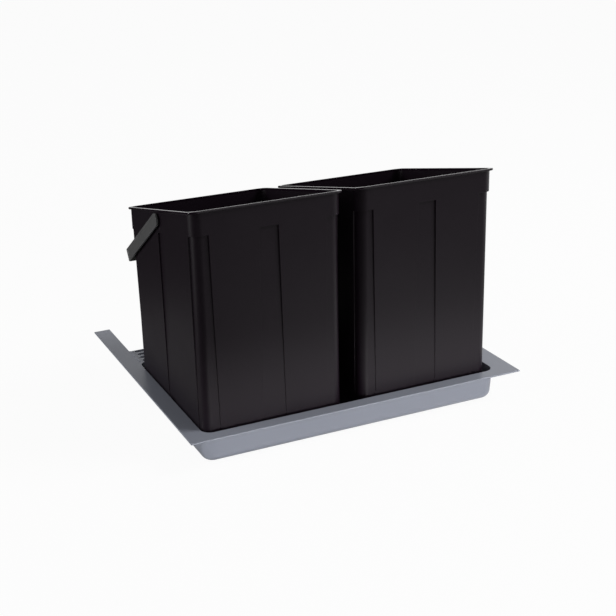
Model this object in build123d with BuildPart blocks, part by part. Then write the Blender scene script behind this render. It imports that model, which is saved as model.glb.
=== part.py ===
from build123d import *
import os
from math import acos, atan2, cos, degrees, hypot, radians, sin, tan

# Built-in waste bin: a grey tray with two lift-out buckets, each with its own bail handle.
# The origin is under the middle of the tray, on the underside of its pan.
# X runs along the front, Y runs to the back and Z is up. Sizes are millimetres and degrees.

# Tray, seen from above
tray_width = 568.0
tray_depth = 500.0
deck_depth = 382.0
front_flange = 22.0
left_flange = 28.0
right_flange = 35.0
deck_strip = 54.5
flange_thickness = 2.5
flange_corner_radius = 1.5
notch_radius = 3.0

# Pan of the tray
pan_depth = 51.5
pan_wall = 2.5
pan_corner_radius = 16.0
pan_base_radius = 14.0
pan_draft = 3.0

# Grooved strip behind the pan
groove_count = 4
groove_pitch = 14.2
groove_width = 7.0
groove_depth = 2.8
groove_end_margin = 8.0
groove_wall = 1.8
bead_width = 2.4
bead_height = 0.8

# Buckets
lip_width = 240.0
lip_length = 299.0
lip_thickness = 3.5
lip_overhang = 2.4
lip_edge_chamfer = 0.8
lip_corner_radius = 13.0
band_height = 36.0
band_step = 3.0
bucket_wall = 2.0
bucket_floor = 2.5
body_corner_radius = 14.0
base_radius = 15.0
foot_height = 2.0
foot_width = 4.0
front_height = 386.2
rim_slope = 12.35
seat_gap = 0.2

# Where the buckets stand in the tray, measured to their lips
bucket_from_left = 24.9
bucket_from_front = 23.5
bucket_spacing = 20.4

# Raised panels on the bucket walls, which narrow and die out downwards
panel_foot_step = 0.5
panel_foot_height = 30.0
front_panel_width = 78.0
front_panel_foot_width = 68.0
front_panel_offset = 53.5
side_panel_gap = 22.0
side_panel_foot_gap = 28.0
side_panel_margin = 14.0
side_panel_foot_margin = 18.0
side_gap_forward = 8.0

# Bail handles
strap_width = 20.0
strap_thickness = 3.0
strap_clearance = 0.5
strap_border = 2.6
strap_recess = 0.6
bail_reach = 186.0
bail_bend_radius = 5.0
pivot_drop = 15.2
pivot_forward = 2.0
pivot_diameter = 8.0
pivot_clearance = 0.08
pivot_head_diameter = 11.0
pivot_head_thickness = 1.6
pivot_head_gap = 0.2
boss_diameter = 16.0
boss_clearance = 0.5
grip_rib_count = 5
grip_rib_pitch = 3.2
grip_rib_width = 1.4
grip_rib_height = 1.2
grip_wall_gap = 0.3

# Places worked out from the sizes above
left_edge = -tray_width / 2
right_edge = tray_width / 2
front_edge = -tray_depth / 2
back_edge = tray_depth / 2
deck_back = front_edge + deck_depth
flange_top = pan_depth
flange_bottom = flange_top - flange_thickness
pan_floor_top = pan_wall

pan_width = tray_width - left_flange - right_flange
pan_length = deck_depth - front_flange - deck_strip
pan_centre_x = left_edge + left_flange + pan_width / 2
pan_front = front_edge + front_flange
pan_back = pan_front + pan_length
pan_centre_y = pan_front + pan_length / 2

bucket_base = pan_floor_top + seat_gap
bucket_front = front_edge + bucket_from_front
bucket_centre_y = bucket_front + lip_length / 2
left_bucket_x = left_edge + bucket_from_left + lip_width / 2
right_bucket_x = left_bucket_x + lip_width + bucket_spacing

rim_fall = tan(radians(rim_slope))
rim_front_z = bucket_base + front_height
rim_middle_z = rim_front_z - rim_fall * lip_length / 2
rim_back_z = rim_front_z - rim_fall * lip_length
band_width = lip_width - 2 * lip_overhang
band_length = lip_length - 2 * lip_overhang
body_width = band_width - 2 * band_step
body_length = band_length - 2 * band_step
band_corner_radius = body_corner_radius + band_step

pivot_y = bucket_centre_y - pivot_forward
pivot_z = rim_middle_z - pivot_drop
arm_inner = lip_width / 2 + strap_clearance
arm_outer = arm_inner + strap_thickness
bail_inner = bail_reach - strap_thickness

# The handle hangs until the lower edge of its grip leans on the raised panels of the back wall
panel_foot_z = bucket_base + panel_foot_height
panel_foot_half = body_length / 2 + panel_foot_step
panel_lean = (band_length / 2 - panel_foot_half) / (rim_back_z - panel_foot_z)
grip_edge = strap_width / 2
wall_at_pivot_height = bucket_centre_y + panel_foot_half + panel_lean * (pivot_z - panel_foot_z)
grip_run = wall_at_pivot_height + grip_wall_gap - pivot_y
grip_radius = hypot(bail_inner, grip_edge) * hypot(1, panel_lean)
grip_turn = atan2(panel_lean * bail_inner - grip_edge, bail_inner + panel_lean * grip_edge)
bail_angle = degrees(acos(grip_run / grip_radius) + grip_turn)

os.makedirs("parts", exist_ok=True)


def pan_form(grow):
    """The hollow of the pan as a solid block, grown outwards on all its walls."""
    with BuildPart() as form:
        with BuildSketch(Plane.XY.offset(flange_top)):
            with Locations((pan_centre_x, pan_centre_y)):
                RectangleRounded(pan_width + 2 * grow, pan_length + 2 * grow, pan_corner_radius + grow)
        extrude(amount=-(pan_depth - pan_wall + grow), taper=pan_draft)
        fillet(form.edges().group_by(Axis.Z)[0], pan_base_radius - pan_wall + grow)
    return form.part


def bucket_level(centre_x, height):
    """A level plane of a bucket, at a height above the tray's underside."""
    return Plane(origin=(centre_x, bucket_centre_y, height))


def rim_plane(centre_x, drop):
    """The slanted plane of the rim, or the one that lies lower by drop."""
    slope = radians(rim_slope)
    return Plane(origin=(centre_x, bucket_centre_y, rim_middle_z - drop), x_dir=(1, 0, 0),
                 z_dir=(0, sin(slope), cos(slope)))


def rim_band(centre_x, inset):
    """The wider band below the rim as a solid block: a prism cut off by two slanted planes."""
    with BuildPart() as band:
        with BuildSketch(bucket_level(centre_x, bucket_base)):
            RectangleRounded(band_width - 2 * inset, band_length - 2 * inset, band_corner_radius - inset)
        extrude(amount=front_height + lip_thickness)
        split(bisect_by=rim_plane(centre_x, 0), keep=Keep.BOTTOM)
        split(bisect_by=rim_plane(centre_x, band_height - inset), keep=Keep.TOP)
    return band.part


def wall_panel(centre_x, inset, across, facing, top_z):
    """One raised panel, as a wedge that stands on the wall that faces the given way.

    across holds the panel's middle and width at its foot and at its top, along the wall.
    """
    foot_middle, foot_width, top_middle, top_width = across
    on_end_wall = facing in ("front", "back")
    side = -1 if facing in ("front", "left") else 1
    band_half = (band_length if on_end_wall else band_width) / 2
    body_size = body_length if on_end_wall else body_width
    foot_face = body_size / 2 + panel_foot_step - inset
    top_face = band_half - inset
    root = foot_face - band_step - bucket_wall
    with BuildPart() as panel:
        for middle, width, face, level in (
            (foot_middle, foot_width, foot_face, panel_foot_z),
            (top_middle, top_width, top_face, top_z),
        ):
            reach = side * (face + root) / 2
            with BuildSketch(bucket_level(centre_x, level)):
                if on_end_wall:
                    with Locations((middle, reach)):
                        Rectangle(width - 2 * inset, face - root)
                else:
                    with Locations((reach, middle)):
                        Rectangle(face - root, width - 2 * inset)
        loft(ruled=True)
    return panel.part


def bucket_form(centre_x, inset):
    """The bucket as a solid block, its walls moved inwards by inset."""
    base = bucket_base + (foot_height + bucket_floor if inset else 0)
    with BuildPart() as form:
        with BuildSketch(bucket_level(centre_x, base)):
            RectangleRounded(body_width - 2 * inset, body_length - 2 * inset, body_corner_radius - inset)
        extrude(amount=rim_front_z + lip_thickness - base)
        fillet(form.edges().group_by(Axis.Z)[0], base_radius - inset)
        for middle in (-front_panel_offset, front_panel_offset):
            across = (middle, front_panel_foot_width, middle, front_panel_width)
            add(wall_panel(centre_x, inset, across, "front", rim_front_z))
            add(wall_panel(centre_x, inset, across, "back", rim_back_z))
        for side in (-1, 1):
            foot_inner = side * side_panel_foot_gap / 2 - side_gap_forward
            foot_outer = side * (body_length / 2 - side_panel_foot_margin)
            top_inner = side * side_panel_gap / 2 - side_gap_forward
            top_outer = side * (body_length / 2 - side_panel_margin)
            across = ((foot_inner + foot_outer) / 2, abs(foot_outer - foot_inner),
                      (top_inner + top_outer) / 2, abs(top_outer - top_inner))
            add(wall_panel(centre_x, inset, across, "left", rim_middle_z))
            add(wall_panel(centre_x, inset, across, "right", rim_middle_z))
        add(rim_band(centre_x, inset))
        split(bisect_by=rim_plane(centre_x, 0), keep=Keep.BOTTOM)
    return form.part


def rim_lip(centre_x):
    """The flat lip that runs round the rim, with its upper edge broken."""
    with BuildPart() as lip:
        with BuildSketch(rim_plane(centre_x, 0)):
            RectangleRounded(lip_width, lip_length / cos(radians(rim_slope)), lip_corner_radius)
        extrude(amount=-lip_thickness)
        top = lip.faces().filter_by(rim_plane(centre_x, 0)).sort_by(Axis.Z)[-1]
        chamfer(top.edges(), lip_edge_chamfer)
    return lip.part


# Tray: a flat flange with two wings, a sunk pan and a grooved strip behind it
pan_shell = pan_form(pan_wall)
pan_hollow = pan_form(0)
strip_centre_y = (pan_back + deck_back) / 2
strip_depth = groove_depth + groove_wall
groove_length = pan_width - 2 * groove_end_margin
with BuildPart() as tray:
    with BuildSketch(Plane.XY.offset(flange_bottom)) as outline:
        with BuildLine():
            Polyline(
                (left_edge, front_edge),
                (right_edge, front_edge),
                (right_edge, back_edge),
                (right_edge - right_flange, back_edge),
                (right_edge - right_flange, deck_back),
                (left_edge + left_flange, deck_back),
                (left_edge + left_flange, back_edge),
                (left_edge, back_edge),
                close=True,
            )
        make_face()
        fillet(outline.vertices().filter_by_position(Axis.Y, deck_back, deck_back), notch_radius)
        fillet(outline.vertices().group_by(Axis.X)[0] + outline.vertices().group_by(Axis.X)[-1],
               flange_corner_radius)
    extrude(amount=flange_thickness)

    with BuildSketch(Plane.XY.offset(flange_top - strip_depth)):
        with Locations((pan_centre_x, strip_centre_y)):
            Rectangle(pan_width, deck_strip)
    extrude(amount=strip_depth)

    add(pan_shell)
    add(pan_hollow, mode=Mode.SUBTRACT)

    with BuildSketch(Plane.XY.offset(flange_top)):
        with Locations((pan_centre_x, strip_centre_y)):
            with GridLocations(0, groove_pitch, 1, groove_count):
                SlotOverall(groove_length, groove_width)
    extrude(amount=-groove_depth, mode=Mode.SUBTRACT)

    with BuildSketch(Plane.XY.offset(flange_top - strip_depth)):
        with Locations((pan_centre_x, strip_centre_y)):
            with GridLocations(0, groove_pitch, 1, groove_count - 1):
                Rectangle(groove_length - groove_width, groove_pitch - groove_width - 2 * groove_wall)
    extrude(amount=strip_depth - flange_thickness, mode=Mode.SUBTRACT)

    with BuildSketch(Plane.XY.offset(flange_top)):
        with Locations((pan_centre_x, strip_centre_y)):
            with GridLocations(pan_width - 2 * bead_width, 0, 2, 1):
                Rectangle(bead_width, deck_strip - 2 * bead_width)
    extrude(amount=bead_height)

tray.part.label = "tray"
export_step(tray.part, "parts/tray.step")


# Buckets, the same for both sides of the tray
for side_name, centre_x in (("left", left_bucket_x), ("right", right_bucket_x)):
    outer_form = bucket_form(centre_x, 0)
    inner_form = bucket_form(centre_x, bucket_wall)
    lip_part = rim_lip(centre_x)
    with BuildPart() as bucket:
        add(outer_form)
        add(lip_part)
        pivot_level = Plane(origin=(centre_x, pivot_y, pivot_z), x_dir=(0, 1, 0), z_dir=(1, 0, 0))
        boss_reach = arm_inner - boss_clearance
        with BuildSketch(pivot_level):
            Circle(boss_diameter / 2)
        extrude(amount=boss_reach, both=True)
        add(inner_form, mode=Mode.SUBTRACT)
        with BuildSketch(pivot_level):
            Circle(pivot_diameter / 2 + pivot_clearance)
        extrude(amount=lip_width, both=True, mode=Mode.SUBTRACT)
        with BuildSketch(bucket_level(centre_x, bucket_base)):
            recess_inset = base_radius + foot_width
            Rectangle(body_width - 2 * recess_inset, body_length - 2 * recess_inset)
        extrude(amount=foot_height, mode=Mode.SUBTRACT)

    bucket.part.label = f"{side_name}_bucket"
    export_step(bucket.part, f"parts/{side_name}_bucket.step")


# Bail handles: a flat strap bent into a U, with ribs under the fingers and a snap pin at each end
for side_name, centre_x in (("left", left_bucket_x), ("right", right_bucket_x)):
    hang = radians(bail_angle)
    # Local X runs across the bucket, local Y runs along the arms to the grip
    strap_plane = Plane(origin=(centre_x, pivot_y, pivot_z), x_dir=(1, 0, 0),
                        z_dir=(0, sin(hang), cos(hang)))
    # Local X runs along the arms, local Y across the strap
    arm_plane = Plane(origin=(centre_x, pivot_y, pivot_z), x_dir=(0, cos(hang), -sin(hang)),
                      z_dir=(1, 0, 0))
    with BuildPart() as bail:
        with BuildSketch(strap_plane) as bend:
            with Locations((0, (bail_reach - strap_width / 2) / 2)):
                Rectangle(2 * arm_outer, bail_reach + strap_width / 2)
            fillet(bend.vertices().group_by(Axis.Y)[-1], bail_bend_radius)
            with Locations((0, (bail_inner - strap_width / 2) / 2)):
                Rectangle(2 * arm_inner, bail_inner + strap_width / 2, mode=Mode.SUBTRACT)
            fillet(bend.vertices().filter_by_position(Axis.Y, bail_inner, bail_inner),
                   bail_bend_radius - strap_thickness)
        extrude(amount=strap_width / 2, both=True)
        with BuildSketch(arm_plane):
            Circle(strap_width / 2)
            with Locations((bail_reach / 2, 0)):
                Rectangle(bail_reach, strap_width)
        extrude(amount=arm_outer, both=True, mode=Mode.INTERSECT)

        with BuildSketch(arm_plane.offset(arm_outer), arm_plane.offset(-arm_outer)):
            Circle(strap_width / 2 - strap_border)
            with Locations(((bail_inner - strap_border) / 2, 0)):
                Rectangle(bail_inner - strap_border, strap_width - 2 * strap_border)
        extrude(amount=strap_recess, both=True, mode=Mode.SUBTRACT)

        for row in range(grip_rib_count):
            rib_height = (row - (grip_rib_count - 1) / 2) * grip_rib_pitch
            with BuildSketch(strap_plane.offset(rib_height)):
                with Locations((0, bail_inner - grip_rib_height / 2)):
                    Rectangle(2 * arm_inner, grip_rib_height)
            extrude(amount=grip_rib_width / 2, both=True)

        wall_inner = band_width / 2 - bucket_wall
        pin_tip = wall_inner - pivot_head_gap - pivot_head_thickness
        for turn in (-1, 1):
            with BuildSketch(arm_plane.offset(turn * pin_tip)):
                Circle(pivot_diameter / 2)
            extrude(amount=turn * (arm_inner - pin_tip))
            with BuildSketch(arm_plane.offset(turn * pin_tip)):
                Circle(pivot_head_diameter / 2)
            extrude(amount=turn * pivot_head_thickness)

    bail.part.label = f"{side_name}_bail"
    export_step(bail.part, f"parts/{side_name}_bail.step")

print("Handles hang", round(bail_angle, 3), "degrees below level, on pivots at", pivot_y, round(pivot_z, 3))
print("Buckets stand at", left_bucket_x, right_bucket_x, bucket_centre_y)
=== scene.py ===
import math

import bmesh
import bpy
from mathutils import Matrix, Vector


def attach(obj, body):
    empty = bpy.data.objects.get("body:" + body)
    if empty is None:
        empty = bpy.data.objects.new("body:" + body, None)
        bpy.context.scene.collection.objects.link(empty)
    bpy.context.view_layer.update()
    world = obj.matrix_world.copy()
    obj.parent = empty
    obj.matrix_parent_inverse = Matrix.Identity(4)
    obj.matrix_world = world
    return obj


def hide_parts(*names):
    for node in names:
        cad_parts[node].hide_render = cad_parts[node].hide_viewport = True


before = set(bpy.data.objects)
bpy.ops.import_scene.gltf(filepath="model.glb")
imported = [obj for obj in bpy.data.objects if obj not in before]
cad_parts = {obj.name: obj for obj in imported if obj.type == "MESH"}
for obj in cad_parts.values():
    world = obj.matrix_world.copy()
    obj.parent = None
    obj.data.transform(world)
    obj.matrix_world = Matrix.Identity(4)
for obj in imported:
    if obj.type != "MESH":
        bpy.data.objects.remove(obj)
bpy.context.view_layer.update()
bpy.ops.object.select_all(action="DESELECT")

# The tray, in metres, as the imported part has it
TRAY_WIDTH = 0.568
TRAY_DEPTH = 0.500
DECK_DEPTH = 0.382
FRONT_FLANGE = 0.022
LEFT_FLANGE = 0.028
RIGHT_FLANGE = 0.035
DECK_STRIP = 0.0545
FLANGE_THICK = 0.0025
NOTCH_RADIUS = 0.003
PAN_DEPTH = 0.0515
PAN_WALL = 0.0025
PAN_CORNER = 0.016
PAN_BASE = 0.014
PAN_DRAFT = math.radians(3.0)
GROOVES = 4
GROOVE_PITCH = 0.0142
GROOVE_WIDTH = 0.007
GROOVE_DEPTH = 0.0028
GROOVE_END = 0.008
GROOVE_WALL = 0.0018
BEAD_WIDTH = 0.0024
BEAD_HEIGHT = 0.0008
DECK_BACK = DECK_DEPTH - TRAY_DEPTH / 2
PAN_FRONT = FRONT_FLANGE - TRAY_DEPTH / 2
PAN_BACK = DECK_BACK - DECK_STRIP
PAN_LEFT = LEFT_FLANGE - TRAY_WIDTH / 2
PAN_RIGHT = TRAY_WIDTH / 2 - RIGHT_FLANGE
FLANGE_LOW = PAN_DEPTH - FLANGE_THICK
FLANGE_MIDDLE = PAN_DEPTH - FLANGE_THICK / 2
STRIP_LOW = PAN_DEPTH - GROOVE_DEPTH - GROOVE_WALL
STRIP_MIDDLE = (PAN_BACK + DECK_BACK) / 2

# The buckets. Each is modelled at X 0, and moved to its middle when it is done
LIP_WIDTH = 0.240
LIP_LENGTH = 0.299
LIP_THICK = 0.0035
LIP_OVERHANG = 0.0024
LIP_CORNER = 0.013
BAND_HEIGHT = 0.036
BAND_STEP = 0.003
WALL = 0.002
BODY_CORNER = 0.014
BASE_ROUND = 0.0135
BUCKET_BASE = 0.0027
BUCKET_FLOOR = 0.0045
FOOT_WIDTH = 0.004
FOOT_HEIGHT = 0.002
RIM_SLOPE = math.radians(12.35)
RIM_UP = Vector((0, math.sin(RIM_SLOPE), math.cos(RIM_SLOPE)))
RIM_FRONT = 0.3889
RIM_MIDDLE = RIM_FRONT - math.tan(RIM_SLOPE) * LIP_LENGTH / 2
BUCKET_MIDDLES = {"left": -0.1391, "right": 0.1213}
BUCKET_Y = -0.077
BODY_HALF_WIDTH = LIP_WIDTH / 2 - LIP_OVERHANG - BAND_STEP
BODY_HALF_LENGTH = LIP_LENGTH / 2 - LIP_OVERHANG - BAND_STEP
UNCUT_HEIGHT = 0.42

# The buckets' walls by their outward direction in X and Y: front, back, left and right. Each
# has two raised panels
WALLS = ((0, -1), (0, 1), (-1, 0), (1, 0))
PANEL_FOOT_RISE = 0.030
PANEL_FOOT_Z = BUCKET_BASE + PANEL_FOOT_RISE
PANEL_FOOT_STEP = 0.0005
PANEL_LEDGE = 0.0008
FRONT_PANEL_OFFSET = 0.0535
FRONT_PANEL_WIDTH = 0.078
FRONT_PANEL_FOOT = 0.068
SIDE_GAP = 0.022
SIDE_FOOT_GAP = 0.028
SIDE_MARGIN = 0.014
SIDE_FOOT_MARGIN = 0.018
SIDE_GAP_FORWARD = 0.008

# The handles. Each is modelled level and to the back, its pins at the origin. Then it is tipped
# down by HANG and moved to its pivot, which is given in Y and Z
STRAP_HALF = 0.010
STRAP_THICK = 0.003
STRAP_BORDER = 0.0026
STRAP_RECESS = 0.0006
BAIL_REACH = 0.186
BAIL_BEND = 0.005
ARM_INNER = 0.1205
ARM_OUTER = 0.1235
PIVOT = (-0.079, 0.340967)
HANG = math.radians(32.682)
PIN_RADIUS = 0.004
PIN_HEAD = 0.0055
PIN_HEAD_THICK = 0.0016
PIN_TIP = 0.1138
GRIP_RIBS = 5
RIB_PITCH = 0.0032
RIB_WIDTH = 0.0014
RIB_HEIGHT = 0.0012
BOSS_RADIUS = 0.008
BOSS_REACH = 0.120

# Roundings that only the scene has, and the flat parts that make up each rounding
OUTLINE_ROUND = 0.0011
LIP_ROUND = 0.0012
TRAY_EDGE = 0.0005
BUCKET_EDGE = 0.0003
STRAP_EDGE = 0.00035
EDGE_PARTS = 2
OUTLINE_PARTS = 3
LIP_PARTS = 3
NOTCH_PARTS = 6
PAN_CORNER_PARTS = 14
PAN_BASE_PARTS = 9
GROOVE_PARTS = 8
BODY_CORNER_PARTS = 10
BASE_PARTS = 8
BEND_PARTS = 6
STRAP_END_PARTS = 12
BOSS_PARTS = 48
PIN_PARTS = 40

# Distances that count as none, and how far a cutting block runs past what it cuts
NEAR = 1e-5
LEVEL_NEAR = 1e-6
LIP_NEAR = 1e-4
CUT_PAST = 0.01
# A groove's ends are rounded a little less than fully, so that the two roundings don't meet
GROOVE_END_SHARE = 0.995
# How much of a face's normal or an edge points along an axis: mostly, fully or hardly
MOSTLY = 0.9
FULLY = 0.99
HARDLY = 0.1
# The lip's outer edges: how far from square their two faces may be, and the share of the
# lip's half size beyond which they lie
LIP_SQUARE = 0.05
LIP_OUTSIDE = 0.955
# An arm's flat outside has more area than this, and the faces round it have less
ARM_FACE_AREA = 1e-4
# Edges sharper than the first angle are rounded, faces that turn less than the second are made
# one, and large faces steer the shading by the last
SHARP_ANGLE = math.radians(32)
FLAT_ANGLE = math.radians(0.3)
LARGE_FACE_WEIGHT = 100

# The finishes. Clouds change the roughness a little each way, and the grain is a fine bump
GREY_FINISH = {"colour": (0.265, 0.28, 0.33), "roughness": 0.36, "gloss_level": 0.45,
               "grain": 0.12, "mottling": 0.02}
BLACK_FINISH = {"colour": (0.0085, 0.0045, 0.0085), "roughness": 0.40, "gloss_level": 0.28,
                "grain": 0.15, "mottling": 0.05}
HANDLE_FINISH = {"colour": (0.085, 0.085, 0.086), "roughness": 0.36, "gloss_level": 0.5,
                 "grain": 0.15, "mottling": 0.04}
LIP_ROUGHNESS = 0.13
LIP_BLEND = 0.0003
CLOUD_SCALE = 14.0
CLOUD_DETAIL = 4.0
CLOUD_ROUGHNESS = 0.05
GRAIN_SCALE = 900.0
GRAIN_DETAIL = 2.0
GRAIN_HEIGHT = 0.0002

# The studio. The room is white to look at, and in gloss it darkens over the left side
WHITE = (1.0, 1.0, 1.0, 1.0)
ROOM_LIGHT = 0.30
DARK_SIDE = 0.02
DARK_SIDE_END = 0.36
FLOOR_SIZE = 14.0
FLOOR_DROP = 0.0006
FLOOR_COLOUR = (0.80, 0.80, 0.80, 1.0)
FLOOR_ROUGHNESS = 0.9
# The share of the floor that is plain white to look at. The rest takes the shadow
FLOOR_WHITE = 0.95
# Where the floor glows in gloss. Each glow is measured from a place or along a direction: where
# it starts and ends to change, and its strength at both
FLOOR_GLOWS = (
    ("DISTANCE", (0.32, -0.42, 0.0), 0.15, 0.68, 1.0, 0.0),
    ("DISTANCE", (-0.10, 0.0, 0.0), 0.42, 0.66, 0.15, 0.0),
    ("DOT_PRODUCT", (0.42, -0.91, 0.0), 0.5, 0.9, 0.0, 0.12),
    ("DOT_PRODUCT", (0.90, 0.44, 0.0), 0.5, 1.5, 0.0, 1.0),
)
# A key light from the front right, a low one on the pan's front, and a soft one from the back
LIGHTS = {
    "key": {"place": (2.3, -1.4, 2.8), "aim": (0.0, 0.0, 0.15),
            "width": 1.4, "height": 1.4, "power": 74.0, "spread": 180.0},
    "low_front": {"place": (0.12, -1.6, 0.03), "aim": (0.0, -0.25, 0.025),
                  "width": 0.8, "height": 0.05, "power": 0.27, "spread": 14.0},
    "back_left": {"place": (-2.9, 0.5, 0.5), "aim": (-0.25, -0.05, 0.03),
                  "width": 0.8, "height": 0.8, "power": 3.0, "spread": 50.0},
}

# The camera, as the photograph was taken, with its angles in degrees
CAMERA_PLACE = (-0.79667, -1.76751, 0.85305)
CAMERA_TURN = -24.8735
CAMERA_DOWN = 20.5145
CAMERA_ROLL = -1.3695
CAMERA_LENS = 71.735
CAMERA_SENSOR = 36.0


def alone(piece):
    """Makes a piece the only one that is selected, and the active one."""
    bpy.ops.object.select_all(action="DESELECT")
    piece.select_set(True)
    bpy.context.view_layer.objects.active = piece


def join(piece, others):
    """Makes a piece and some others one piece."""
    alone(piece)
    for other in others:
        other.select_set(True)
    bpy.ops.object.join()


def block(name, low, high):
    """A box between two corners, as a mesh at the origin."""
    bpy.ops.object.select_all(action="DESELECT")
    bpy.ops.mesh.primitive_cube_add(size=1, location=[(a + b) / 2 for a, b in zip(low, high)],
                                    scale=[b - a for a, b in zip(low, high)])
    piece = bpy.context.object
    piece.name = name
    bpy.ops.object.transform_apply(location=True, rotation=True, scale=True)
    return piece


def round_bar(side, radius, parts, start, length, place):
    """A round bar along X, on one side, that starts at a distance from the middle."""
    bpy.ops.object.select_all(action="DESELECT")
    bpy.ops.mesh.primitive_cylinder_add(
        vertices=parts, radius=radius, depth=length, rotation=(0, math.pi / 2, 0),
        location=(side * (start + length / 2), *place))
    bpy.ops.object.transform_apply(location=True, rotation=True, scale=True)
    return bpy.context.object


def edit(piece):
    alone(piece)
    bpy.ops.object.mode_set(mode="EDIT")


def leave():
    bpy.ops.object.mode_set(mode="OBJECT")


def pick(piece, kind, wanted):
    """In edit mode, selects the vertices, edges or faces that pass a test."""
    bpy.ops.mesh.select_mode(type=kind)
    bpy.ops.mesh.select_all(action="DESELECT")
    mesh = bmesh.from_edit_mesh(piece.data)
    for item in {"VERT": mesh.verts, "EDGE": mesh.edges, "FACE": mesh.faces}[kind]:
        if wanted(item):
            item.select_set(True)
    mesh.select_flush_mode()
    bmesh.update_edit_mesh(piece.data)


def upright(edge):
    """A test for edges that stand up."""
    first, second = (corner.co for corner in edge.verts)
    return abs(first.z - second.z) > MOSTLY * (first - second).length


def level_with(height):
    """A test for edges that lie at a height."""
    return lambda edge: all(abs(corner.co.z - height) < LEVEL_NEAR for corner in edge.verts)


def round_off(width, parts):
    """Rounds the selected edges."""
    bpy.ops.mesh.bevel(offset=width, segments=parts, clamp_overlap=False)


def draw_out(offset):
    """Extrudes the selected faces by an offset."""
    bpy.ops.mesh.extrude_region_move(TRANSFORM_OT_translate={"value": offset})


def merge_doubles():
    """Makes corners that lie in one place one, and leaves the whole mesh selected."""
    bpy.ops.mesh.select_all(action="SELECT")
    bpy.ops.mesh.remove_doubles(threshold=NEAR)


def carve(piece, cutter, how):
    """Cuts a closed block out of a piece, or melts it into the piece, and drops the block."""
    change = piece.modifiers.new(how, "BOOLEAN")
    change.operation = how
    change.solver = "EXACT"
    change.object = cutter
    alone(piece)
    bpy.ops.object.modifier_apply(modifier=change.name)
    bpy.data.objects.remove(cutter)


def finish_edges(piece, width):
    """Rounds every sharp edge a little, and shades the flat faces flat and the rest smooth."""
    alone(piece)
    bpy.ops.object.shade_smooth()
    rounding = piece.modifiers.new("edges", "BEVEL")
    rounding.width = width
    rounding.segments = EDGE_PARTS
    rounding.limit_method = "ANGLE"
    rounding.angle_limit = SHARP_ANGLE
    rounding.use_clamp_overlap = False
    bpy.ops.object.modifier_apply(modifier=rounding.name)
    evened = piece.modifiers.new("shading", "WEIGHTED_NORMAL")
    evened.keep_sharp = True
    evened.weight = LARGE_FACE_WEIGHT
    bpy.ops.object.modifier_apply(modifier=evened.name)


def put(piece, place, dip):
    """Tips a finished piece's back down and moves it to its place, and keeps both in its mesh."""
    alone(piece)
    piece.rotation_euler = (-dip, 0, 0)
    piece.location = place
    bpy.ops.object.transform_apply(location=True, rotation=True, scale=True)


def pan_block(name, grow, top):
    """The pan's form up to a top, grown outwards: leaning walls, round corners and a round base."""
    low = PAN_WALL - grow
    width = PAN_RIGHT - PAN_LEFT + 2 * grow
    length = PAN_BACK - PAN_FRONT + 2 * grow
    shape = block(name, (PAN_LEFT - grow, PAN_FRONT - grow, low),
                  (PAN_RIGHT + grow, PAN_BACK + grow, PAN_DEPTH))
    edit(shape)
    pick(shape, "VERT", lambda corner: corner.co.z < PAN_DEPTH / 2)
    lean = 2 * math.tan(PAN_DRAFT) * (PAN_DEPTH - low)
    middle = ((PAN_LEFT + PAN_RIGHT) / 2, (PAN_FRONT + PAN_BACK) / 2, low)
    bpy.ops.transform.resize(value=(1 - lean / width, 1 - lean / length, 1), center_override=middle)
    pick(shape, "EDGE", upright)
    round_off(PAN_CORNER + grow, PAN_CORNER_PARTS)
    pick(shape, "EDGE", level_with(low))
    round_off(PAN_BASE - PAN_WALL + grow, PAN_BASE_PARTS)
    if top > PAN_DEPTH:
        pick(shape, "FACE", lambda face: face.normal.z > MOSTLY
             and face.calc_center_median().z > PAN_DEPTH - NEAR)
        draw_out((0, 0, top - PAN_DEPTH))
    else:
        bpy.ops.mesh.select_all(action="SELECT")
        bpy.ops.mesh.bisect(plane_co=(0, 0, top), plane_no=(0, 0, 1),
                            clear_outer=True, use_fill=True)
    leave()
    return shape


def cut_notch(deck):
    """Cuts the space between the two wings, with its front corners rounded."""
    notch = block("notch", (PAN_LEFT, DECK_BACK, FLANGE_LOW - CUT_PAST),
                  (PAN_RIGHT, TRAY_DEPTH, PAN_DEPTH + CUT_PAST))
    edit(notch)
    pick(notch, "EDGE", lambda edge: upright(edge) and edge.verts[0].co.y < DECK_BACK + NEAR)
    round_off(NOTCH_RADIUS, NOTCH_PARTS)
    leave()
    carve(deck, notch, "DIFFERENCE")


def row_place(row, rows):
    """Where a groove or a ridge of the strip lies in Y, counted from the front."""
    return STRIP_MIDDLE + (row - (rows - 1) / 2) * GROOVE_PITCH


def cut_grooves(deck):
    """Cuts the strip's grooves from above, and hollows the ridges between them from below."""
    for row in range(GROOVES):
        y = row_place(row, GROOVES)
        groove = block(
            "groove", (PAN_LEFT + GROOVE_END, y - GROOVE_WIDTH / 2, PAN_DEPTH - GROOVE_DEPTH),
            (PAN_RIGHT - GROOVE_END, y + GROOVE_WIDTH / 2, PAN_DEPTH + CUT_PAST))
        edit(groove)
        pick(groove, "EDGE", upright)
        round_off(GROOVE_WIDTH / 2 * GROOVE_END_SHARE, GROOVE_PARTS)
        leave()
        carve(deck, groove, "DIFFERENCE")
    half = (GROOVE_PITCH - GROOVE_WIDTH) / 2 - GROOVE_WALL
    inset = GROOVE_END + GROOVE_WIDTH / 2
    for row in range(GROOVES - 1):
        y = row_place(row, GROOVES - 1)
        relief = block("relief", (PAN_LEFT + inset, y - half, STRIP_LOW - CUT_PAST),
                       (PAN_RIGHT - inset, y + half, FLANGE_LOW))
        carve(deck, relief, "DIFFERENCE")


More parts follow.
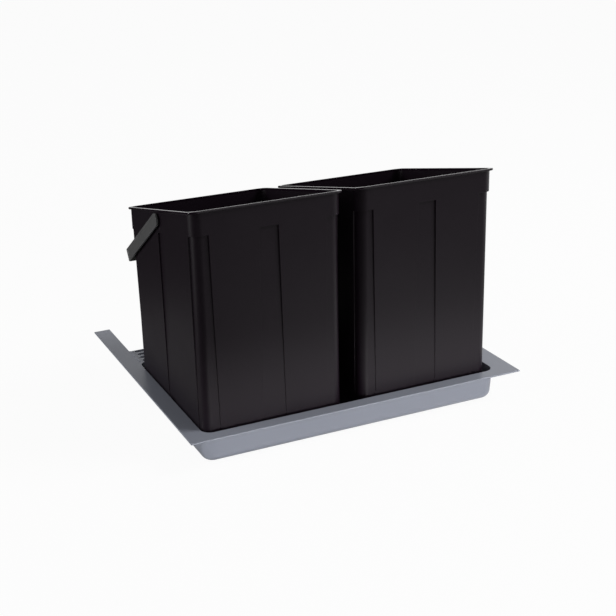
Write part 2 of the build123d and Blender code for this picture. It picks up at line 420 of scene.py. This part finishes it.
def add_beads(deck):
    """Sets a low bead across each end of the grooved strip."""
    for edge_x, side in ((PAN_LEFT, 1), (PAN_RIGHT, -1)):
        start = edge_x + side * BEAD_WIDTH / 2
        near, far = sorted((start, start + side * BEAD_WIDTH))
        bead = block("bead", (near, PAN_BACK + BEAD_WIDTH, FLANGE_MIDDLE),
                     (far, DECK_BACK - BEAD_WIDTH, PAN_DEPTH + BEAD_HEIGHT))
        carve(deck, bead, "UNION")


def outer_top_edge(edge):
    """True for the upper edges along the tray's outline, but not round the cut-out."""
    middle = (edge.verts[0].co + edge.verts[1].co) / 2
    outermost = (abs(middle.x) > TRAY_WIDTH / 2 - NEAR
                 or abs(middle.y) > TRAY_DEPTH / 2 - NEAR)
    return outermost and level_with(PAN_DEPTH)(edge)


def tray_body(name):
    """The tray: a flange with two wings, the sunk pan, and the grooved strip behind the pan."""
    deck = block(name, (-TRAY_WIDTH / 2, -TRAY_DEPTH / 2, FLANGE_LOW),
                 (TRAY_WIDTH / 2, TRAY_DEPTH / 2, PAN_DEPTH))
    cut_notch(deck)
    strip = block("strip", (PAN_LEFT, PAN_BACK - PAN_WALL / 2, STRIP_LOW),
                  (PAN_RIGHT, DECK_BACK, FLANGE_MIDDLE))
    carve(deck, strip, "UNION")
    carve(deck, pan_block("pan_outside", PAN_WALL, FLANGE_MIDDLE), "UNION")
    carve(deck, pan_block("pan_inside", 0.0, PAN_DEPTH + CUT_PAST), "DIFFERENCE")
    cut_grooves(deck)
    add_beads(deck)
    edit(deck)
    merge_doubles()
    bpy.ops.mesh.dissolve_limited(angle_limit=FLAT_ANGLE)
    pick(deck, "EDGE", outer_top_edge)
    round_off(OUTLINE_ROUND, OUTLINE_PARTS)
    leave()
    return deck


def above_rim(point, drop):
    """How far a point is above the rim's slanted plane, or above the one that is lower by drop."""
    return (point - Vector((0, BUCKET_Y, RIM_MIDDLE - drop))).dot(RIM_UP)


def cut_slanted(drop, clear_above=False):
    """Cuts the whole mesh along a plane that slants as the rim does, and may clear what is above."""
    bpy.ops.mesh.select_all(action="SELECT")
    bpy.ops.mesh.bisect(plane_co=(0, BUCKET_Y, RIM_MIDDLE - drop), plane_no=RIM_UP,
                        clear_outer=clear_above)


def rim_height(outward):
    """How high the rim is over the middle of a wall."""
    return RIM_MIDDLE - math.tan(RIM_SLOPE) * outward[1] * LIP_LENGTH / 2


def half_size(outward, inset):
    """How far a wall stands from the bucket's middle, or its inner face does with an inset."""
    return (BODY_HALF_LENGTH if outward[1] else BODY_HALF_WIDTH) - inset


def along(outward, point):
    """How far along a wall a point lies."""
    return point.x if outward[1] else point.y


def out_of(outward, point):
    """How far from the bucket's middle a point lies, towards a wall."""
    return outward[0] * point.x + outward[1] * (point.y - BUCKET_Y)


def wall_panels(outward):
    """A wall's two panels: where each one's edges are along the wall, at its foot and at the rim."""
    for side in (-1, 1):
        if outward[1]:
            middle = side * FRONT_PANEL_OFFSET
            foot = (middle - FRONT_PANEL_FOOT / 2, middle + FRONT_PANEL_FOOT / 2)
            rim = (middle - FRONT_PANEL_WIDTH / 2, middle + FRONT_PANEL_WIDTH / 2)
        else:
            foot = sorted((BUCKET_Y + side * SIDE_FOOT_GAP / 2 - SIDE_GAP_FORWARD,
                           BUCKET_Y + side * (BODY_HALF_LENGTH - SIDE_FOOT_MARGIN)))
            rim = sorted((BUCKET_Y + side * SIDE_GAP / 2 - SIDE_GAP_FORWARD,
                          BUCKET_Y + side * (BODY_HALF_LENGTH - SIDE_MARGIN)))
        yield foot, rim


def on_wall(face, outward, inset):
    """True for a face on the flat of one wall, below the rim band."""
    middle = face.calc_center_median()
    return (out_of(outward, middle) > half_size(outward, inset) - NEAR
            and above_rim(middle, BAND_HEIGHT - inset) < 0)


def on_band(face, inset):
    """True for an upright face above the rim band's lower edge."""
    return (abs(face.normal.z) < HARDLY
            and above_rim(face.calc_center_median(), BAND_HEIGHT - inset) > 0)


def on_panel(face, inset):
    """True for a face inside the outline of a panel."""
    middle = face.calc_center_median()
    for outward in WALLS:
        if middle.z > PANEL_FOOT_Z and on_wall(face, outward, inset):
            part = (middle.z - PANEL_FOOT_Z) / (rim_height(outward) - PANEL_FOOT_Z)
            for foot, rim in wall_panels(outward):
                low, high = [start + part * (end - start) for start, end in zip(foot, rim)]
                if low < along(outward, middle) < high:
                    return True
    return False


def outline_panels(shell, outward, inset):
    """Cuts the panels' slanted sides and their feet into the flat of a wall."""
    pick(shell, "FACE", lambda face: on_wall(face, outward, inset))
    bpy.ops.mesh.bisect(plane_co=(0, 0, PANEL_FOOT_Z), plane_no=(0, 0, 1))
    rise = rim_height(outward) - PANEL_FOOT_Z
    for foot, rim in wall_panels(outward):
        for start, end, inwards in ((foot[0], rim[0], inset), (foot[1], rim[1], -inset)):
            lean = end - start
            edge = start + inwards
            across = Vector((rise, 0, -lean)) if outward[1] else Vector((0, rise, -lean))
            place = (edge, 0, PANEL_FOOT_Z) if outward[1] else (0, edge, PANEL_FOOT_Z)
            pick(shell, "FACE", lambda face: on_wall(face, outward, inset)
                 and face.calc_center_median().z > PANEL_FOOT_Z)
            bpy.ops.mesh.bisect(plane_co=place, plane_no=across.normalized())


def push_in(outward, distance):
    """Moves what is selected towards the inside of the bucket."""
    bpy.ops.transform.translate(value=(-outward[0] * distance, -outward[1] * distance, 0))


def fade_panels(shell, outward, inset):
    """Leans a wall's raised panels in, so that they are almost flush at their feet."""
    proud = half_size(outward, inset) + BAND_STEP - NEAR
    most = BAND_STEP - PANEL_FOOT_STEP
    pick(shell, "VERT", lambda corner: out_of(outward, corner.co) > proud
         and corner.co.z < PANEL_FOOT_Z + NEAR)
    push_in(outward, most)
    pick(shell, "VERT", lambda corner: out_of(outward, corner.co) > proud
         and corner.co.z > PANEL_FOOT_Z + NEAR
         and above_rim(corner.co, BAND_HEIGHT - inset) < -PANEL_LEDGE / 2)
    push_in(outward, most * BAND_HEIGHT / (rim_height(outward) - PANEL_FOOT_Z))


def wall_shell(name, inset, base, top_drop):
    """The bucket's walls and floor as an open shell, with its rim band and its eight panels."""
    half_width = BODY_HALF_WIDTH - inset
    half_length = BODY_HALF_LENGTH - inset
    shell = block(name, (-half_width, BUCKET_Y - half_length, base),
                  (half_width, BUCKET_Y + half_length, UNCUT_HEIGHT))
    edit(shell)
    pick(shell, "EDGE", upright)
    round_off(BODY_CORNER - inset, BODY_CORNER_PARTS)
    pick(shell, "EDGE", level_with(base))
    round_off(BASE_ROUND - inset, BASE_PARTS)
    cut_slanted(BAND_HEIGHT - inset)
    cut_slanted(BAND_HEIGHT - inset + PANEL_LEDGE)
    for outward in WALLS:
        outline_panels(shell, outward, inset)
    pick(shell, "FACE", lambda face: on_band(face, inset) or on_panel(face, inset))
    bpy.ops.mesh.extrude_region_shrink_fatten(
        TRANSFORM_OT_shrink_fatten={"value": BAND_STEP, "use_even_offset": True})
    for outward in WALLS:
        fade_panels(shell, outward, inset)
    cut_slanted(top_drop, clear_above=True)
    if not inset:
        pick(shell, "FACE", lambda face: face.normal.z < -MOSTLY
             and face.calc_center_median().z < base + NEAR)
        bpy.ops.mesh.inset(thickness=FOOT_WIDTH)
        draw_out((0, 0, FOOT_HEIGHT))
    leave()
    return shell


def lip_wall(name):
    """The lip's outer edge as an open ring, square to the slanted rim."""
    half_length = LIP_LENGTH / math.cos(RIM_SLOPE) / 2
    ring = block(name, (-LIP_WIDTH / 2, BUCKET_Y - half_length, RIM_MIDDLE - LIP_THICK),
                 (LIP_WIDTH / 2, BUCKET_Y + half_length, RIM_MIDDLE))
    edit(ring)
    pick(ring, "EDGE", upright)
    round_off(LIP_CORNER, BODY_CORNER_PARTS)
    pick(ring, "FACE", lambda face: abs(face.normal.z) > MOSTLY)
    bpy.ops.mesh.delete(type="FACE")
    bpy.ops.mesh.select_all(action="SELECT")
    bpy.ops.transform.rotate(value=RIM_SLOPE, orient_axis="X",
                             center_override=(0, BUCKET_Y, RIM_MIDDLE))
    leave()
    return ring


def lip_rim_edge(edge):
    """True for the lip's upper and lower outer edges, where its side meets a slanted face."""
    if len(edge.link_faces) != 2:
        return False
    side, flat = sorted(abs(face.normal.dot(RIM_UP)) for face in edge.link_faces)
    middle = (edge.verts[0].co + edge.verts[1].co) / 2
    reach = max(abs(middle.x) / (LIP_WIDTH / 2), abs(middle.y - BUCKET_Y) / (LIP_LENGTH / 2))
    return (side <= LIP_SQUARE and flat >= 1 - LIP_SQUARE and reach > LIP_OUTSIDE
            and above_rim(middle, 0) >= -LIP_THICK - LIP_NEAR)


def bucket_body(name):
    """A bucket: an outer and an inner shell, joined to the lip's side under and over the lip."""
    outer = wall_shell(name, 0.0, BUCKET_BASE, LIP_THICK / math.cos(RIM_SLOPE))
    inner = wall_shell(name + "_inside", WALL, BUCKET_BASE + BUCKET_FLOOR, 0.0)
    edit(inner)
    bpy.ops.mesh.select_all(action="SELECT")
    bpy.ops.mesh.flip_normals()
    leave()
    join(outer, [inner, lip_wall(name + "_lip")])
    edit(outer)
    for over in (False, True):
        pick(outer, "EDGE", lambda edge: edge.is_boundary and all(
            (above_rim(corner.co, 0) > -LIP_THICK / 2) == over for corner in edge.verts))
        bpy.ops.mesh.bridge_edge_loops()
    pick(outer, "EDGE", lip_rim_edge)
    round_off(LIP_ROUND, LIP_PARTS)
    leave()
    return outer


def pivot_boss(side):
    """The boss on a bucket's side that carries the handle's pin."""
    start = BODY_HALF_WIDTH + BAND_STEP - WALL / 2
    return round_bar(side, BOSS_RADIUS, BOSS_PARTS, start, BOSS_REACH - start, PIVOT)


def recess_arms(strap):
    """Sinks the outside of both arms within a narrow border."""
    for side in (-1, 1):
        pick(strap, "FACE", lambda face: side * face.normal.x > FULLY
             and side * face.calc_center_median().x > ARM_OUTER - NEAR
             and face.calc_area() > ARM_FACE_AREA)
        bpy.ops.mesh.inset(thickness=STRAP_BORDER)
        draw_out((-side * STRAP_RECESS, 0, 0))


def rib_grip(strap):
    """Raises the ribs under the fingers, on the inside of the grip."""
    def on_grip(face):
        return (face.normal.y < -FULLY
                and abs(face.calc_center_median().y - BAIL_REACH + STRAP_THICK) < NEAR)

    def on_rib(face):
        height = face.calc_center_median().z
        nearest = round(height / RIB_PITCH)
        return (on_grip(face) and abs(nearest) <= (GRIP_RIBS - 1) / 2
                and abs(height - nearest * RIB_PITCH) < RIB_WIDTH / 4)

    for rib in range(GRIP_RIBS):
        for side in (-1, 1):
            height = (rib - (GRIP_RIBS - 1) / 2) * RIB_PITCH + side * RIB_WIDTH / 2
            pick(strap, "FACE", on_grip)
            bpy.ops.mesh.bisect(plane_co=(0, 0, height), plane_no=(0, 0, 1))
    pick(strap, "FACE", on_rib)
    draw_out((0, -RIB_HEIGHT, 0))


def snap_pin(side):
    """A handle's pin with its snap head, which runs a little way into the arm."""
    pin = round_bar(side, PIN_HEAD, PIN_PARTS, PIN_TIP, PIN_HEAD_THICK, (0, 0))
    edit(pin)
    pick(pin, "FACE", lambda face: side * face.normal.x > MOSTLY)
    bpy.ops.mesh.inset(thickness=PIN_HEAD - PIN_RADIUS)
    draw_out((side * (ARM_INNER - PIN_TIP - PIN_HEAD_THICK + STRAP_THICK / 4), 0, 0))
    leave()
    return pin


def bail(name):
    """The handle: a flat strap bent into a U, with round ends and a snap pin on each arm."""
    strap = block(name, (-ARM_OUTER, -STRAP_HALF, -STRAP_HALF), (ARM_OUTER, BAIL_REACH, STRAP_HALF))
    edit(strap)
    pick(strap, "FACE", lambda face: abs(face.normal.z) > MOSTLY or face.normal.y < -MOSTLY)
    bpy.ops.mesh.delete(type="FACE")
    pick(strap, "EDGE", lambda edge: upright(edge) and edge.verts[0].co.y > BAIL_REACH - NEAR)
    round_off(BAIL_BEND, BEND_PARTS)
    pick(strap, "VERT", lambda corner: corner.co.y < 0)
    bpy.ops.mesh.bevel(offset=STRAP_HALF, segments=STRAP_END_PARTS, affect="VERTICES",
                       clamp_overlap=False)
    merge_doubles()
    leave()
    wall = strap.modifiers.new("wall", "SOLIDIFY")
    wall.thickness = STRAP_THICK
    wall.offset = -1
    wall.use_even_offset = True
    alone(strap)
    bpy.ops.object.modifier_apply(modifier=wall.name)
    edit(strap)
    recess_arms(strap)
    rib_grip(strap)
    leave()
    join(strap, [snap_pin(side) for side in (-1, 1)])
    return strap


def largest(tree, values):
    """The largest of some values, as a node's output."""
    top = values[0]
    for value in values[1:]:
        most = tree.nodes.new("ShaderNodeMath")
        most.operation = "MAXIMUM"
        tree.links.new(top, most.inputs[0])
        tree.links.new(value, most.inputs[1])
        top = most.outputs[0]
    return top


def faded(tree, value, start, end, first, last):
    """A level that goes from first to last as a value goes from start to end."""
    level = tree.nodes.new("ShaderNodeMapRange")
    level.inputs["From Min"].default_value = start
    level.inputs["From Max"].default_value = end
    level.inputs["To Min"].default_value = first
    level.inputs["To Max"].default_value = last
    tree.links.new(value, level.inputs["Value"])
    return level.outputs["Result"]


def measured(tree, place, kind, other):
    """A place's distance from another, or how far it lies along a direction."""
    ruler = tree.nodes.new("ShaderNodeVectorMath")
    ruler.operation = kind
    tree.links.new(place, ruler.inputs[0])
    ruler.inputs[1].default_value = other
    return ruler.outputs["Value"]


def moulded_plastic(name, colour, roughness, gloss_level, grain, mottling):
    """Satin moulded plastic: a fine even grain, and faint clouds in its colour and its gloss."""
    surface = bpy.data.materials.new(name)
    surface.use_nodes = True
    tree = surface.node_tree
    shader = tree.nodes["Principled BSDF"]
    shader.inputs["Specular IOR Level"].default_value = gloss_level
    place = tree.nodes.new("ShaderNodeTexCoord")
    cloud = tree.nodes.new("ShaderNodeTexNoise")
    cloud.inputs["Scale"].default_value = CLOUD_SCALE
    cloud.inputs["Detail"].default_value = CLOUD_DETAIL
    tree.links.new(place.outputs["Object"], cloud.inputs["Vector"])
    shade = tree.nodes.new("ShaderNodeMix")
    shade.data_type = "RGBA"
    shade.inputs["A"].default_value = (*[c * (1 - mottling) for c in colour], 1.0)
    shade.inputs["B"].default_value = (*[c * (1 + mottling) for c in colour], 1.0)
    tree.links.new(cloud.outputs["Fac"], shade.inputs["Factor"])
    tree.links.new(shade.outputs["Result"], shader.inputs["Base Color"])
    satin = tree.nodes.new("ShaderNodeMapRange")
    satin.name = "satin"
    satin.inputs["To Min"].default_value = roughness - CLOUD_ROUGHNESS
    satin.inputs["To Max"].default_value = roughness + CLOUD_ROUGHNESS
    tree.links.new(cloud.outputs["Fac"], satin.inputs["Value"])
    tree.links.new(satin.outputs["Result"], shader.inputs["Roughness"])
    fine = tree.nodes.new("ShaderNodeTexNoise")
    fine.inputs["Scale"].default_value = GRAIN_SCALE
    fine.inputs["Detail"].default_value = GRAIN_DETAIL
    tree.links.new(place.outputs["Object"], fine.inputs["Vector"])
    bump = tree.nodes.new("ShaderNodeBump")
    bump.inputs["Strength"].default_value = grain
    bump.inputs["Distance"].default_value = GRAIN_HEIGHT
    tree.links.new(fine.outputs["Fac"], bump.inputs["Height"])
    tree.links.new(bump.outputs["Normal"], shader.inputs["Normal"])
    return surface


def polish_rim(surface, roughness):
    """Makes the lip smoother than the grained walls, down to its underside."""
    tree = surface.node_tree
    shift = tree.nodes.new("ShaderNodeVectorMath")
    shift.operation = "SUBTRACT"
    tree.links.new(tree.nodes.new("ShaderNodeTexCoord").outputs["Object"], shift.inputs[0])
    shift.inputs[1].default_value = (0, BUCKET_Y, RIM_MIDDLE)
    height = measured(tree, shift.outputs["Vector"], "DOT_PRODUCT", RIM_UP)
    lip = faded(tree, height, -LIP_THICK - LIP_BLEND, -LIP_THICK, 0.0, 1.0)
    blend = tree.nodes.new("ShaderNodeMix")
    tree.links.new(lip, blend.inputs["Factor"])
    tree.links.new(tree.nodes["satin"].outputs["Result"], blend.inputs["A"])
    blend.inputs["B"].default_value = roughness
    tree.links.new(blend.outputs["Result"], tree.nodes["Principled BSDF"].inputs["Roughness"])


def seen_share(tree):
    """One where the camera, gloss or glass looks, and nothing where light is shed."""
    path = tree.nodes.new("ShaderNodeLightPath")
    kinds = ("Is Camera Ray", "Is Glossy Ray", "Is Transmission Ray")
    return largest(tree, [path.outputs[kind] for kind in kinds])


def studio_world():
    """White to look at, with a dark side to the left in the object's gloss."""
    world = bpy.data.worlds.new("studio")
    world.use_nodes = True
    bpy.context.scene.world = world
    tree = world.node_tree
    back = tree.nodes["Background"]
    back.inputs["Color"].default_value = WHITE
    facing = tree.nodes.new("ShaderNodeTexCoord").outputs["Generated"]
    rightwards = measured(tree, facing, "DOT_PRODUCT", (1.0, 0.0, 0.0))
    side = faded(tree, rightwards, 0.0, DARK_SIDE_END, DARK_SIDE, 1.0)
    looked_at = tree.nodes.new("ShaderNodeLightPath").outputs["Is Camera Ray"]
    strength = tree.nodes.new("ShaderNodeMix")
    tree.links.new(seen_share(tree), strength.inputs["Factor"])
    strength.inputs["A"].default_value = ROOM_LIGHT
    tree.links.new(largest(tree, [looked_at, side]), strength.inputs["B"])
    tree.links.new(strength.outputs["Result"], back.inputs["Strength"])


def pale_floor():
    """A white floor that keeps a trace of the shadow, and glows only in places in gloss."""
    bpy.ops.mesh.primitive_plane_add(size=FLOOR_SIZE, location=(0, 0, -FLOOR_DROP))
    floor = bpy.context.object
    floor.name = "floor"
    surface = bpy.data.materials.new("floor_white")
    surface.use_nodes = True
    tree = surface.node_tree
    shader = tree.nodes["Principled BSDF"]
    shader.inputs["Base Color"].default_value = FLOOR_COLOUR
    shader.inputs["Roughness"].default_value = FLOOR_ROUGHNESS
    shader.inputs["Specular IOR Level"].default_value = 0.0
    place = tree.nodes.new("ShaderNodeNewGeometry").outputs["Position"]
    glows = [faded(tree, measured(tree, place, kind, other), start, end, first, last)
             for kind, other, start, end, first, last in FLOOR_GLOWS]
    looked_at = tree.nodes.new("ShaderNodeLightPath").outputs["Is Camera Ray"]
    glow = tree.nodes.new("ShaderNodeEmission")
    tree.links.new(largest(tree, [looked_at, *glows]), glow.inputs["Strength"])
    mix = tree.nodes.new("ShaderNodeMixShader")
    tree.links.new(faded(tree, seen_share(tree), 0.0, 1.0, 0.0, FLOOR_WHITE), mix.inputs["Fac"])
    tree.links.new(shader.outputs["BSDF"], mix.inputs[1])
    tree.links.new(glow.outputs["Emission"], mix.inputs[2])
    tree.links.new(mix.outputs["Shader"], tree.nodes["Material Output"].inputs["Surface"])
    floor.data.materials.append(surface)


def photo_camera():
    """The camera, placed and turned as the photograph was taken."""
    view = bpy.data.cameras.new("photo_camera")
    view.lens = CAMERA_LENS
    view.sensor_width = CAMERA_SENSOR
    camera = bpy.data.objects.new("photo_camera", view)
    turn = Matrix.Rotation(math.radians(CAMERA_TURN), 4, "Z")
    tilt = Matrix.Rotation(math.radians(90 - CAMERA_DOWN), 4, "X")
    roll = Matrix.Rotation(math.radians(CAMERA_ROLL), 4, "Z")
    camera.matrix_world = Matrix.Translation(CAMERA_PLACE) @ turn @ tilt @ roll
    bpy.context.scene.collection.objects.link(camera)
    bpy.context.scene.camera = camera


def soft_light(name, place, aim, width, height, power, spread):
    """A flat lamp at a place, turned to its aim, with its spread in degrees."""
    lamp = bpy.data.lights.new(name, "AREA")
    lamp.shape = "RECTANGLE"
    lamp.size = width
    lamp.size_y = height
    lamp.energy = power
    lamp.spread = math.radians(spread)
    light = bpy.data.objects.new(name, lamp)
    light.location = place
    light.rotation_euler = (Vector(aim) - Vector(place)).to_track_quat("-Z", "Y").to_euler()
    bpy.context.scene.collection.objects.link(light)


def set_down(piece, body, node, surface):
    """Gives a finished piece its material, and puts it in the place of its CAD node."""
    piece.data.materials.clear()
    piece.data.materials.append(surface)
    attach(piece, body)
    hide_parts(node)


studio_world()
pale_floor()
photo_camera()
for name, settings in LIGHTS.items():
    soft_light(name, **settings)
bpy.context.scene.view_settings.view_transform = "Standard"

grey = moulded_plastic("grey_plastic", **GREY_FINISH)
black = moulded_plastic("black_plastic", **BLACK_FINISH)
polish_rim(black, LIP_ROUGHNESS)
handle = moulded_plastic("handle_plastic", **HANDLE_FINISH)

tray = tray_body("tray_moulding")
finish_edges(tray, TRAY_EDGE)
set_down(tray, "tray", "tray", grey)

for side, middle in BUCKET_MIDDLES.items():
    bucket = bucket_body(side + "_bucket_moulding")
    join(bucket, [pivot_boss(end) for end in (-1, 1)])
    finish_edges(bucket, BUCKET_EDGE)
    put(bucket, (middle, 0, 0), 0)
    set_down(bucket, side + "_bucket", side + "_bucket", black)

    strap = bail(side + "_bail_strap")
    finish_edges(strap, STRAP_EDGE)
    put(strap, (middle, *PIVOT), HANG)
    set_down(strap, side + "_bail", side + "_bail", handle)
